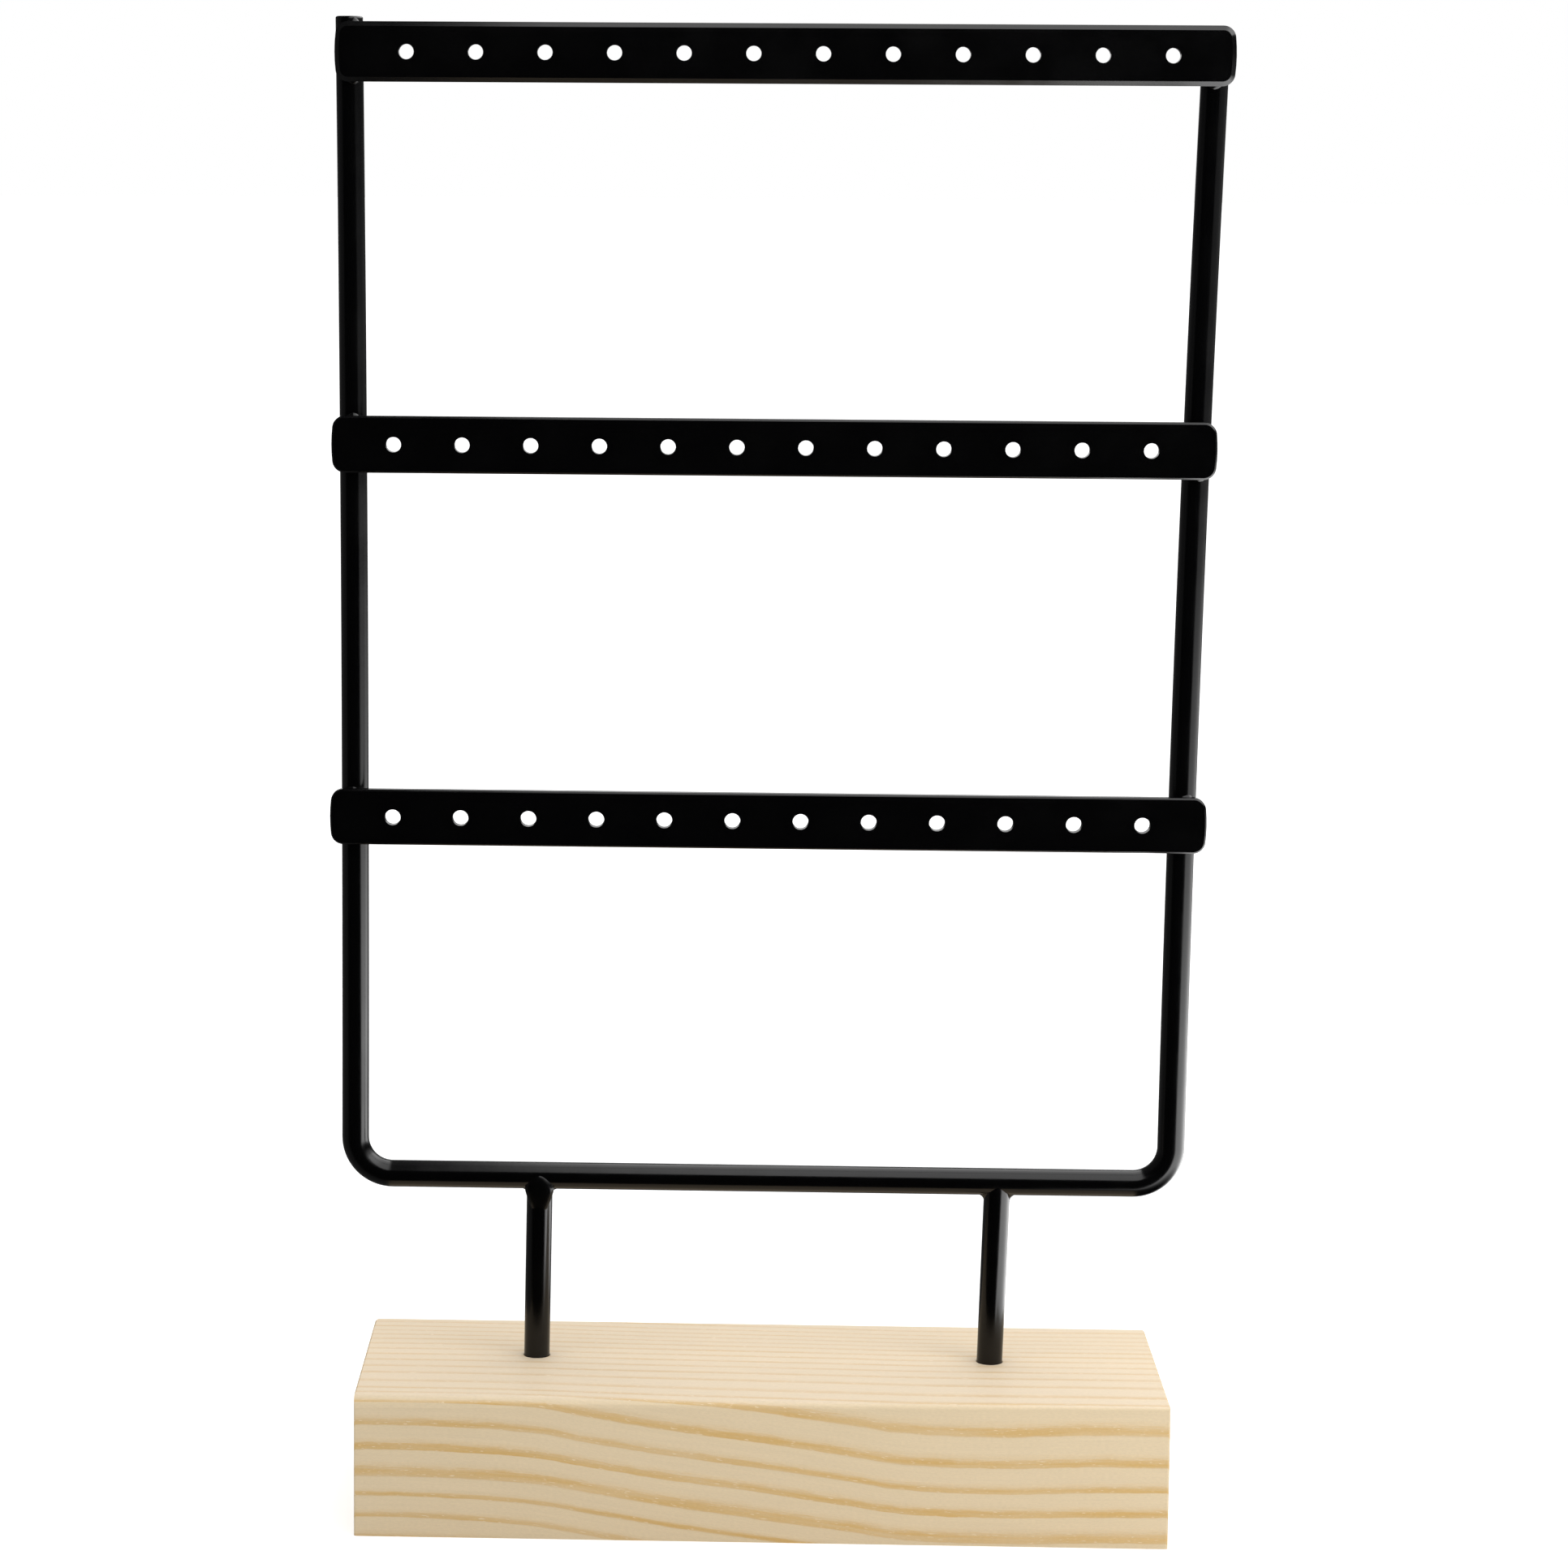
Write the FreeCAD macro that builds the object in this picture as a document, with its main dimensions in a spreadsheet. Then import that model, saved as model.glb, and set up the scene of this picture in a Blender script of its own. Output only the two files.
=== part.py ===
"""Earring display stand: a pine block, two posts, a U of bent wire and three strips with earring holes.

Frame of the part: millimetres, X to the right along the strips, Y to the back, Z up.
The origin is the centre of the block's underside.
"""
import FreeCAD, Part
import math
import os

import Sketcher
from FreeCAD import Vector

# Driving dimensions. Each one is a cell of the sheet under the same name.
SIZES = {
    # pine block
    "base_length": 148.0,
    "base_depth": 50.0,
    "base_height": 26.5,
    "base_edge_ease": 0.3,
    "base_corner_round": 0.4,
    "base_back_left_round": 1.0,
    "base_front_round_left": 2.4,
    "base_front_round_right": 0.6,
    # posts, whose middle lies a little to the right of the block's, and which lean a little to the right;
    # their spacing is measured at the block's top face
    "post_diameter": 4.8,
    "post_spacing": 84.8,
    "post_shift": 0.55,
    "left_post_lean": 0.7,
    "right_post_lean": 1.4,
    "post_sink": 20.0,
    "post_hole_clearance": 0.2,
    "post_foot_chamfer": 0.4,
    "post_weld_width": 0.9,
    "post_weld_drop": 1.2,
    "post_weld_rise": 1.6,
    # wire frame, measured on the wire's centre line
    "wire_diameter": 5.0,
    "frame_width": 151.0,
    "frame_shift": -0.2,
    "frame_setback": 2.4,
    "frame_foot_height": 61.0,
    "frame_bend_radius": 7.0,
    "left_arm_splay": 0.25,
    "right_arm_splay": 0.95,
    "left_arm_top": 275.0,
    "right_arm_top": 273.6,
    "arm_end_chamfer": 0.4,
    # strips: heights are to a strip's middle, overhangs are from the outer side of an arm at that height, and
    # a row of holes is shifted from the middle of its strip
    "bar_thickness": 2.0,
    "bar_seat_depth": 0.3,
    "bar_corner_radius": 2.3,
    "bar_end_radius": 30.0,
    "hole_diameter": 3.0,
    "hole_pitch": 12.5,
    "hole_count": 12,
    "top_bar_width": 10.8,
    "top_bar_height": 268.65,
    "top_bar_left_overhang": 0.2,
    "top_bar_right_overhang": 1.3,
    "top_bar_hole_shift": 0.825,
    "top_bar_edge_ease": 0.85,
    "middle_bar_width": 10.4,
    "middle_bar_height": 197.8,
    "middle_bar_left_overhang": 1.15,
    "middle_bar_right_overhang": 0.75,
    "middle_bar_hole_shift": -0.275,
    "middle_bar_edge_ease": 0.35,
    "bottom_bar_width": 10.3,
    "bottom_bar_height": 129.1,
    "bottom_bar_left_overhang": 1.8,
    "bottom_bar_right_overhang": 1.6,
    "bottom_bar_hole_shift": -0.075,
    "bottom_bar_edge_ease": 0.3,
    # weld beads between arms and strips: how deep they lie in front of and behind the back of a strip; how
    # far each one shows above and below its strip (negative where it stops short of the edge), and how
    # far its middle lies to the right of the arm's
    "bead_width": 4.6,
    "bead_taper": 1.0,
    "bead_depth_in_front": 1.4,
    "bead_depth_behind": 1.8,
    "top_left_weld_above": 0.8,
    "top_left_weld_below": 0.7,
    "top_left_weld_shift": 0.5,
    "top_right_weld_above": -1.0,
    "top_right_weld_below": 0.8,
    "top_right_weld_shift": 0.2,
    "middle_left_weld_above": 0.7,
    "middle_left_weld_below": -0.5,
    "middle_left_weld_shift": 0.2,
    "middle_right_weld_above": -0.5,
    "middle_right_weld_below": 0.6,
    "middle_right_weld_shift": 0.3,
    "bottom_left_weld_above": 0.5,
    "bottom_left_weld_below": -0.4,
    "bottom_left_weld_shift": -0.2,
    "bottom_right_weld_above": 0.6,
    "bottom_right_weld_below": -0.4,
    "bottom_right_weld_shift": 0.4,
}

SIDES = {"left": -1, "right": 1}
BARS = ("top", "middle", "bottom")
X_AXIS, Y_AXIS = range(-1, -3, -1)  # a sketch's own axes, as its constraints name them
START, END, CENTRE = range(1, 4)  # the points of a line or an arc, as constraints name them
ORIGIN_POINT = (X_AXIS, START)
NEAR = 1e-4  # mm, for picking edges by their place

# Places that several pieces share, worked out from the sheet.
WIRE_RADIUS = "Sizes.wire_diameter / 2"
STRIP_BACK = f"(Sizes.frame_setback - {WIRE_RADIUS} + Sizes.bar_seat_depth)"
POST_X = {side: f"(Sizes.post_shift + {sign} * Sizes.post_spacing / 2)" for side, sign in SIDES.items()}
POST_RISE = "(Sizes.frame_foot_height - Sizes.base_height)"


def arm_x(side, height):
    """Where an arm's centre line is at a height above the bottom of the U, from the middle of the frame."""
    sign = SIDES[side]
    return f"({sign} * (Sizes.frame_width / 2 + tan(Sizes.{side}_arm_splay) * {height}))"


def bar_end(bar, side):
    """Where a strip ends, beyond the outer side of the arm."""
    height = f"(Sizes.{bar}_bar_height - Sizes.frame_foot_height)"
    reach = f"{SIDES[side]} * ({WIRE_RADIUS} + Sizes.{bar}_bar_{side}_overhang)"
    return f"(Sizes.frame_shift + {arm_x(side, height)} + {reach})"


def bar_length(bar):
    """The length of a strip, from end to end."""
    return f"({bar_end(bar, 'right')} - {bar_end(bar, 'left')})"


doc = FreeCAD.newDocument("EarringStand")


def make_sheet():
    """Puts every driving dimension into the sheet, as a plain number with an alias."""
    cells = doc.addObject("Spreadsheet::Sheet", "Sizes")
    for row, (name, number) in enumerate(SIZES.items(), start=1):
        cells.set(f"A{row}", name)
        cells.set(f"B{row}", str(number))
        cells.setAlias(f"B{row}", name)
    doc.recompute()
    return cells


sheet = make_sheet()


def value(expression):
    """The number that an expression of the sheet's cells has now."""
    number = sheet.evalExpression(expression)
    return float(getattr(number, "Value", number))


def bind(obj, **expressions):
    """Binds properties of an object to the sheet; a double underscore stands for a dot."""
    for name, expression in expressions.items():
        obj.setExpression(name.replace("__", "."), expression)


def bind_place(obj, x, y, z):
    """Binds an object's place to the sheet."""
    bind(obj, Placement__Base__x=x, Placement__Base__y=y, Placement__Base__z=z)


def bind_on_post(obj, side, along, holder="Placement"):
    """Places an object on a post's leaning centre line, at a distance along it from the block's top face."""
    lean = f"Sizes.{side}_post_lean"
    x = f"{POST_X[side]} + sin({lean}) * {along}"
    z = f"Sizes.base_height + cos({lean}) * {along}"
    place = Vector(value(x), value("Sizes.frame_setback"), value(z))
    setattr(obj, holder, FreeCAD.Placement(place, FreeCAD.Rotation(Vector(0, 1, 0), value(lean))))
    bindings = {"Base.x": x, "Base.y": "Sizes.frame_setback", "Base.z": z, "Rotation.Angle": lean}
    for name, expression in bindings.items():
        obj.setExpression(f"{holder}.{name}", expression)


def origin_feature(body, role):
    """One of the body's own origin planes or axes."""
    return next(feature for feature in body.Origin.OriginFeatures if feature.Role == role)


def make_body(name):
    """An empty body, labelled with its piece's name."""
    body = doc.addObject("PartDesign::Body", name)
    body.Label = name
    return body


def make_sketch(body, name, role, offset=None):
    """A sketch flat on one of the body's origin planes, or at a bound distance along its normal."""
    sketch = body.newObject("Sketcher::SketchObject", f"{body.Name}_{name}")
    sketch.AttachmentSupport = (origin_feature(body, role), [""])
    sketch.MapMode = "FlatFace"
    if offset:
        bind(sketch, AttachmentOffset__Base__z=offset)
    return sketch


def dimension(sketch, name, expression, kind, *geometry):
    """Adds a named dimension to a sketch and binds it."""
    start = value(expression)
    if kind == "Angle":
        start = math.radians(start)
        expression = f"({expression}) * 1 deg"
    index = sketch.addConstraint(Sketcher.Constraint(kind, *geometry, start))
    sketch.renameConstraint(index, name)
    sketch.setExpression(f"Constraints.{name}", expression)


def place_point(sketch, name, geometry, point, x, y):
    """Holds a point of a sketch by its distances from the sketch's origin."""
    if x == "0":
        sketch.addConstraint(Sketcher.Constraint("PointOnObject", geometry, point, Y_AXIS))
    else:
        dimension(sketch, f"{name}_x", x, "DistanceX", *ORIGIN_POINT, geometry, point)
    if y == "0":
        sketch.addConstraint(Sketcher.Constraint("PointOnObject", geometry, point, X_AXIS))
    else:
        dimension(sketch, f"{name}_y", y, "DistanceY", *ORIGIN_POINT, geometry, point)


def draw_circle(sketch, name, x, y, diameter):
    """A circle with a bound centre and diameter."""
    centre = Vector(value(x), value(y), 0)
    circle = sketch.addGeometry(Part.Circle(centre, Vector(0, 0, 1), value(diameter) / 2), False)
    place_point(sketch, name, circle, CENTRE, x, y)
    dimension(sketch, f"{name}_diameter", diameter, "Diameter", circle)


def draw_outline(sketch, name, corners):
    """A closed outline of straight lines through bound corners."""
    points = [Vector(value(x), value(y), 0) for x, y in corners]
    ends = points[1:] + points[:1]
    lines = [sketch.addGeometry(Part.LineSegment(a, b), False) for a, b in zip(points, ends)]
    for line, following in zip(lines, lines[1:] + lines[:1]):
        sketch.addConstraint(Sketcher.Constraint("Coincident", line, END, following, START))
    for number, (line, (x, y)) in enumerate(zip(lines, corners), start=1):
        place_point(sketch, f"{name}_{number}", line, START, x, y)


def draw_arc(sketch, centre, radius, start_deg, end_deg):
    """A free arc, counter-clockwise; the constraints that follow hold it."""
    circle = Part.Circle(Vector(*centre, 0), Vector(0, 0, 1), radius)
    arc = Part.ArcOfCircle(circle, math.radians(start_deg), math.radians(end_deg))
    return sketch.addGeometry(arc, False)


def draw_line(sketch, start, end):
    """A free line; the constraints that follow hold it."""
    return sketch.addGeometry(Part.LineSegment(Vector(*start, 0), Vector(*end, 0)), False)


def add_feature(body, kind, name, profile, **expressions):
    """A feature on a sketch, with its sizes bound."""
    feature = body.newObject(f"PartDesign::{kind}", f"{body.Name}_{name}")
    feature.Profile = profile
    bind(feature, **expressions)
    return feature


def cut_through(body, name, profile, length):
    """A pocket that runs the same way out on both sides of its sketch."""
    pocket = add_feature(body, "Pocket", name, profile, Length=length)
    pocket.SideType = "Symmetric"
    return pocket


def dress_edges(body, kind, name, picked, **expressions):
    """A fillet or chamfer on the edges of the body that the picked function accepts."""
    doc.recompute()
    base = body.Tip
    names = [f"Edge{i}" for i, edge in enumerate(base.Shape.Edges, start=1) if picked(edge)]
    if not names:
        raise ValueError(f"{body.Label}: no edge to dress for {name}")
    feature = body.newObject(f"PartDesign::{kind}", f"{body.Name}_{name}")
    feature.Base = (base, names)
    bind(feature, **expressions)
    return feature


def lies_at(edge, axis, place):
    """Whether an edge lies wholly in the plane at that place of the axis."""
    box = edge.BoundBox
    low, high = {"x": (box.XMin, box.XMax), "y": (box.YMin, box.YMax), "z": (box.ZMin, box.ZMax)}[axis]
    return abs(low - place) < NEAR and abs(high - place) < NEAR


def make_base_block():
    """The sawn pine block, with eased edges, a sanded front top edge and two blind post holes."""
    body = make_body("base_block")
    half_length, half_depth = value("Sizes.base_length / 2"), value("Sizes.base_depth / 2")
    height = value("Sizes.base_height")
    plan = make_sketch(body, "plan", "XY_Plane")
    left, right = "-Sizes.base_length / 2", "Sizes.base_length / 2"
    front, back = "-Sizes.base_depth / 2", "Sizes.base_depth / 2"
    draw_outline(plan, "corner", [(left, front), (right, front), (right, back), (left, back)])
    add_feature(body, "Pad", "block", plan, Length="Sizes.base_height")

    def upright_back_left(edge):
        return lies_at(edge, "x", -half_length) and lies_at(edge, "y", half_depth)

    def upright_other(edge):
        corner = abs(edge.BoundBox.XMin - edge.BoundBox.XMax) < NEAR and edge.BoundBox.ZLength > height / 2
        return corner and not (edge.BoundBox.XMin < 0 and edge.BoundBox.YMin > 0)

    def top_rim(edge):
        return lies_at(edge, "z", height) and edge.BoundBox.YMax > -half_depth + NEAR

    back_left_round = "Sizes.base_back_left_round"
    dress_edges(body, "Fillet", "back_left_corner", upright_back_left, Radius=back_left_round)
    dress_edges(body, "Fillet", "corners", upright_other, Radius="Sizes.base_corner_round")
    dress_edges(body, "Chamfer", "rim", top_rim, Size="Sizes.base_edge_ease")

    # The front top edge is sanded round, more at the left than at the right.
    overshoot = 1.0
    shavings = []
    for side, sign in SIDES.items():
        offset = f"{sign} * (Sizes.base_length / 2 + {overshoot})"
        shaving = make_sketch(body, f"front_round_{side}", "YZ_Plane", offset)
        radius = f"Sizes.base_front_round_{side}"
        draw_corner_shaving(shaving, radius, overshoot)
        shavings.append(shaving)
    doc.recompute()
    loft = add_feature(body, "SubtractiveLoft", "front_round", shavings[0])
    loft.Sections = shavings[1:]
    loft.Ruled = True

    for side in SIDES:
        mark = make_sketch(body, f"{side}_post_mark", "XY_Plane")
        bind_on_post(mark, side, overshoot, "AttachmentOffset")
        draw_circle(mark, "hole", "0", "0", "Sizes.post_diameter + Sizes.post_hole_clearance")
        add_feature(body, "Pocket", f"{side}_post_hole", mark, Length=f"Sizes.post_sink + {overshoot}")
    return body


def draw_corner_shaving(sketch, radius, overshoot):
    """The waste outside a sanded corner: four short flats on the wood's side, straight lines clear of it."""
    front, top = "-Sizes.base_depth / 2", "Sizes.base_height"
    turns = [90 * number / 4 for number in range(5)]
    flats = [(f"{front} + {radius} * (1 - sin({turn}))", f"{top} - {radius} * (1 - cos({turn}))")
             for turn in turns]
    before, above = f"{front} - {overshoot}", f"{top} + {overshoot}"
    outside = [(before, f"{top} - {radius}"), (before, above), (f"{front} + {radius}", above)]
    draw_outline(sketch, "waste", flats + outside)


def make_post(side, wire):
    """A short rod, chamfered at its foot and coped at its top to sit under the wire."""
    body = make_body(f"{side}_post_blank")
    bind_on_post(body, side, "-Sizes.post_sink")
    section = make_sketch(body, "section", "XY_Plane")
    draw_circle(section, "rod", "0", "0", "Sizes.post_diameter")
    length = f"Sizes.post_sink + {POST_RISE} / cos(Sizes.{side}_post_lean)"
    add_feature(body, "Pad", "rod", section, Length=length)
    dress_edges(body, "Chamfer", "foot", lambda edge: lies_at(edge, "z", 0), Size="Sizes.post_foot_chamfer")
    return cut_by(f"{side}_post", body, wire)


def draw_wire_path(body, side):
    """Half of the wire's centre line: along the bottom, round the bend and up one arm."""
    sign = SIDES[side]
    path = make_sketch(body, f"{side}_path", "XZ_Plane")
    top = f"(Sizes.{side}_arm_top - Sizes.frame_foot_height)"
    splay = math.radians(value(f"Sizes.{side}_arm_splay"))
    bend, corner = value("Sizes.frame_bend_radius"), value("Sizes.frame_width / 2")
    tangent = bend * math.tan(math.radians(45) - splay / 2)
    foot = (sign * (corner - tangent), 0)
    arm_start = (sign * (corner + tangent * math.sin(splay)), tangent * math.cos(splay))
    arm_end = (value(arm_x(side, top)), value(top))
    rise = math.degrees(splay)
    bottom = draw_line(path, (0, 0), foot)
    turn = (270, 360 - rise) if sign > 0 else (180 + rise, 270)
    arc = draw_arc(path, (foot[0], bend), bend, *turn)
    arm = draw_line(path, arm_start, arm_end)
    arc_foot, arc_top = (START, END) if sign > 0 else (END, START)
    path.addConstraint(Sketcher.Constraint("Coincident", bottom, START, *ORIGIN_POINT))
    path.addConstraint(Sketcher.Constraint("Horizontal", bottom))
    path.addConstraint(Sketcher.Constraint("Tangent", bottom, END, arc, arc_foot))
    path.addConstraint(Sketcher.Constraint("Tangent", arc, arc_top, arm, START))
    dimension(path, "bend", "Sizes.frame_bend_radius", "Radius", arc)
    dimension(path, "lean", f"90 - {sign} * Sizes.{side}_arm_splay", "Angle", arm)
    place_point(path, "tip", arm, END, arm_x(side, top), top)
    return path


def make_bent_wire():
    """The U of round wire, open at the top, before the strips are pressed on."""
    body = make_body("frame_wire_blank")
    bind_place(body, "Sizes.frame_shift", "Sizes.frame_setback", "Sizes.frame_foot_height")
    section = make_sketch(body, "section", "YZ_Plane")
    draw_circle(section, "wire", "0", "0", "Sizes.wire_diameter")
    for side in SIDES:
        path = draw_wire_path(body, side)
        doc.recompute()
        pipe = add_feature(body, "AdditivePipe", f"{side}_half", section)
        pipe.Spine = (path, [f"Edge{number}" for number in range(1, len(path.Shape.Edges) + 1)])
    for side, sign in SIDES.items():
        tip = value(f"Sizes.{side}_arm_top - Sizes.frame_foot_height")

        def arm_end(edge):
            middle = edge.BoundBox.Center
            return middle.x * sign > 0 and abs(middle.z - tip) < NEAR and edge.Closed

        dress_edges(body, "Chamfer", f"{side}_arm_end", arm_end, Size="Sizes.arm_end_chamfer")
    return body


def draw_bar_outline(sketch, bar):
    """A strip's face: long straight edges, slightly bowed ends and rounded corners, all tangent."""
    half_length, half_width = value(f"{bar_length(bar)} / 2"), value(f"Sizes.{bar}_bar_width / 2")
    bow, corner = value("Sizes.bar_end_radius"), value("Sizes.bar_corner_radius")
    bow_x = half_length - bow
    rise = half_width - corner
    corner_x = bow_x + math.sqrt((bow - corner) ** 2 - rise ** 2)
    lean = math.degrees(math.asin(rise / (bow - corner)))
    right_end = draw_arc(sketch, (bow_x, 0), bow, -lean, lean)
    top_right = draw_arc(sketch, (corner_x, rise), corner, lean, 90)
    top = draw_line(sketch, (corner_x, half_width), (-corner_x, half_width))
    top_left = draw_arc(sketch, (-corner_x, rise), corner, 90, 180 - lean)
    left_end = draw_arc(sketch, (-bow_x, 0), bow, 180 - lean, 180 + lean)
    bottom_left = draw_arc(sketch, (-corner_x, -rise), corner, 180 + lean, 270)
    bottom = draw_line(sketch, (-corner_x, -half_width), (corner_x, -half_width))
    bottom_right = draw_arc(sketch, (corner_x, -rise), corner, 270, 360 - lean)
    loop = [right_end, top_right, top, top_left, left_end, bottom_left, bottom, bottom_right]
    for geo, following in zip(loop, loop[1:] + loop[:1]):
        sketch.addConstraint(Sketcher.Constraint("Tangent", geo, END, following, START))
    for other in (top_left, bottom_left, bottom_right):
        sketch.addConstraint(Sketcher.Constraint("Equal", top_right, other))
    sketch.addConstraint(Sketcher.Constraint("Equal", right_end, left_end))
    dimension(sketch, "corner_radius", "Sizes.bar_corner_radius", "Radius", top_right)
    dimension(sketch, "end_radius", "Sizes.bar_end_radius", "Radius", right_end)
    end_centre = f"{bar_length(bar)} / 2 - Sizes.bar_end_radius"
    place_point(sketch, "right_bow", right_end, CENTRE, end_centre, "0")
    place_point(sketch, "left_bow", left_end, CENTRE, f"-({end_centre})", "0")
    dimension(sketch, "upper_edge", f"Sizes.{bar}_bar_width / 2", "DistanceY", *ORIGIN_POINT, top, START)
    dimension(sketch, "lower_edge", f"-Sizes.{bar}_bar_width / 2", "DistanceY", *ORIGIN_POINT, bottom, START)


def make_bar(bar):
    """A flat strip with eased face edges and a row of punched earring holes."""
    body = make_body(f"{bar}_bar")
    middle = f"({bar_end(bar, 'left')} + {bar_end(bar, 'right')}) / 2"
    bind_place(body, middle, STRIP_BACK, f"Sizes.{bar}_bar_height")
    face = make_sketch(body, "face", "XZ_Plane")
    draw_bar_outline(face, bar)
    add_feature(body, "Pad", "strip", face, Length="Sizes.bar_thickness")
    front = -value("Sizes.bar_thickness")

    def face_edge(edge):
        return lies_at(edge, "y", 0) or lies_at(edge, "y", front)

    dress_edges(body, "Chamfer", "face_edges", face_edge, Size=f"Sizes.{bar}_bar_edge_ease")
    mark = make_sketch(body, "hole_mark", "XZ_Plane")
    row_start = f"Sizes.{bar}_bar_hole_shift - (Sizes.hole_count - 1) * Sizes.hole_pitch / 2"
    draw_circle(mark, "first", row_start, "0", "Sizes.hole_diameter")
    hole = cut_through(body, "first_hole", mark, "4 * Sizes.bar_thickness")
    row = body.newObject("PartDesign::LinearPattern", f"{body.Name}_hole_row")
    row.Originals = [hole]
    row.Direction = (mark, ["H_Axis"])
    bind(row, Length="(Sizes.hole_count - 1) * Sizes.hole_pitch", Occurrences="Sizes.hole_count")
    body.Tip = row
    return body


def cut_by(name, base, *tools):
    """What is left of a shape outside its neighbours; the last cut carries the piece's name."""
    for number, tool in enumerate(tools, start=1):
        cut = doc.addObject("Part::Cut", f"{name}_cut{number}")
        cut.Base, cut.Tool = base, tool
        cut.Label = name if number == len(tools) else f"{name}_cut{number}"
        base = cut
    return base


def make_bar_weld(bar, side, wire, strip):
    """A bead laid between an arm and the back of a strip, showing where it runs past the strip's edge."""
    name = f"{bar}_{side}_weld"
    body = make_body(f"{name}_bead")
    above, below = f"Sizes.{name}_above", f"Sizes.{name}_below"
    height = f"(Sizes.{bar}_bar_height - Sizes.frame_foot_height)"
    bind_place(body, f"Sizes.frame_shift + {arm_x(side, height)} + Sizes.{name}_shift",
               f"{STRIP_BACK} + Sizes.bead_depth_behind", f"Sizes.{bar}_bar_height")
    x, taper = "Sizes.bead_width / 2", "Sizes.bead_taper"
    top, bottom = f"(Sizes.{bar}_bar_width / 2 + {above})", f"-(Sizes.{bar}_bar_width / 2 + {below})"
    outline = make_sketch(body, "outline", "XZ_Plane")
    flat, shoulder, heel = f"({x} - {taper})", f"{top} - {taper}", f"{bottom} + {taper}"
    upper = [(x, shoulder), (flat, top), (f"-{flat}", top), (f"-{x}", shoulder)]
    lower = [(f"-{x}", heel), (f"-{flat}", bottom), (flat, bottom), (x, heel)]
    draw_outline(outline, "bead", upper + lower)
    add_feature(body, "Pad", "bead", outline, Length="Sizes.bead_depth_in_front + Sizes.bead_depth_behind")
    return cut_by(name, body, wire, strip)


def make_post_weld(side, wire, post):
    """The collar of weld metal round the top of a post, thickest at the wire's underside."""
    name = f"{side}_post_weld"
    body = make_body(f"{name}_collar")
    bind_on_post(body, side, f"{POST_RISE} / cos(Sizes.{side}_post_lean)")
    profile = make_sketch(body, "profile", "XZ_Plane")
    post_side, underside = "Sizes.post_diameter / 2", f"-{WIRE_RADIUS}"
    foot, head = f"{underside} - Sizes.post_weld_drop", f"{underside} + Sizes.post_weld_rise"
    crest = f"{post_side} + Sizes.post_weld_width"
    collar_half = [("0", foot), (post_side, foot), (crest, underside), (post_side, head), ("0", head)]
    draw_outline(profile, "collar", collar_half)
    collar = add_feature(body, "Revolution", "collar", profile)
    collar.ReferenceAxis = (profile, ["V_Axis"])
    return cut_by(name, body, wire, post)


base_block = make_base_block()
bars = {bar: make_bar(bar) for bar in BARS}
bent_wire = make_bent_wire()
posts = {side: make_post(side, bent_wire) for side in SIDES}
doc.recompute()
# Each strip is pressed a little way into both arms, so that the wire has a flat seat behind it.
frame_wire = cut_by("frame_wire", bent_wire, *bars.values())
bar_welds = [make_bar_weld(bar, side, bent_wire, bars[bar]) for bar in BARS for side in SIDES]
post_welds = [make_post_weld(side, bent_wire, posts[side]) for side in SIDES]
doc.recompute()

pieces = [base_block, *posts.values(), frame_wire, *bars.values(), *post_welds, *bar_welds]

for obj in doc.Objects:
    if "Invalid" in obj.State or "Error" in obj.State:
        raise RuntimeError(f"{obj.Name} failed: {obj.State}")

os.makedirs("parts", exist_ok=True)
for piece in pieces:
    shape = piece.Shape
    if shape.isNull() or not shape.isValid() or not shape.Solids:
        raise RuntimeError(f"{piece.Label} has no valid solid")
for piece in pieces:
    piece.Shape.exportStep(f"parts/{piece.Label}.step")
    print(piece.Label, "solids", len(piece.Shape.Solids), "volume", round(piece.Shape.Volume, 1))
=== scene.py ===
"""Earring display stand: a pine block, and a bent wire frame with three punched strips, coated satin black."""
import math

import bmesh
import bpy
from bpy.props import FloatProperty, FloatVectorProperty, PointerProperty
from mathutils import Matrix, Vector, noise


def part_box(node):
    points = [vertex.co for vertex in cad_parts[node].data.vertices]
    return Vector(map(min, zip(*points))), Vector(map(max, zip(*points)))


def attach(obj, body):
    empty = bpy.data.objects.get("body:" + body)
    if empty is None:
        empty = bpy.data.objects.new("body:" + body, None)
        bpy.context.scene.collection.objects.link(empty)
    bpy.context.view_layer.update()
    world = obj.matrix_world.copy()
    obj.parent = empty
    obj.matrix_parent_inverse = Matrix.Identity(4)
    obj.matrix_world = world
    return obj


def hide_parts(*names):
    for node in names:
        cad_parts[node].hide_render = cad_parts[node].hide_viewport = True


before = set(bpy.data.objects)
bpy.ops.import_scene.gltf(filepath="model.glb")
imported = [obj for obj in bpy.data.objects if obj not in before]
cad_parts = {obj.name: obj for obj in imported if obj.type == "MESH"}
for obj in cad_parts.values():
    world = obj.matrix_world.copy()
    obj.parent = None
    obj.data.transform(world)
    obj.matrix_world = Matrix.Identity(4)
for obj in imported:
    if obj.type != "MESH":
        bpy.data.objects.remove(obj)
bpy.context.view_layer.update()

bl_info = {
    "name": "Earring display stand",
    "version": (1, 0, 0),
    "blender": (4, 5, 0),
    "location": "3D View > Sidebar > Earring Stand",
    "description": "Builds the looks of an earring display stand over its CAD pieces",
    "category": "Object",
}

MM = 0.001
STRIPS = ("top", "middle", "bottom")
SIDES = {"left": -1, "right": 1}
# turns metres into millimetres in a shader
PER_METRE = (1000.0, 1000.0, 1000.0)
# vertices nearer to each other than this are joined, in metres: the script's own, and the CAD model's
MERGE, CAD_MERGE = 1e-7, 1e-6
WHITE = (1, 1, 1, 1)
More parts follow.
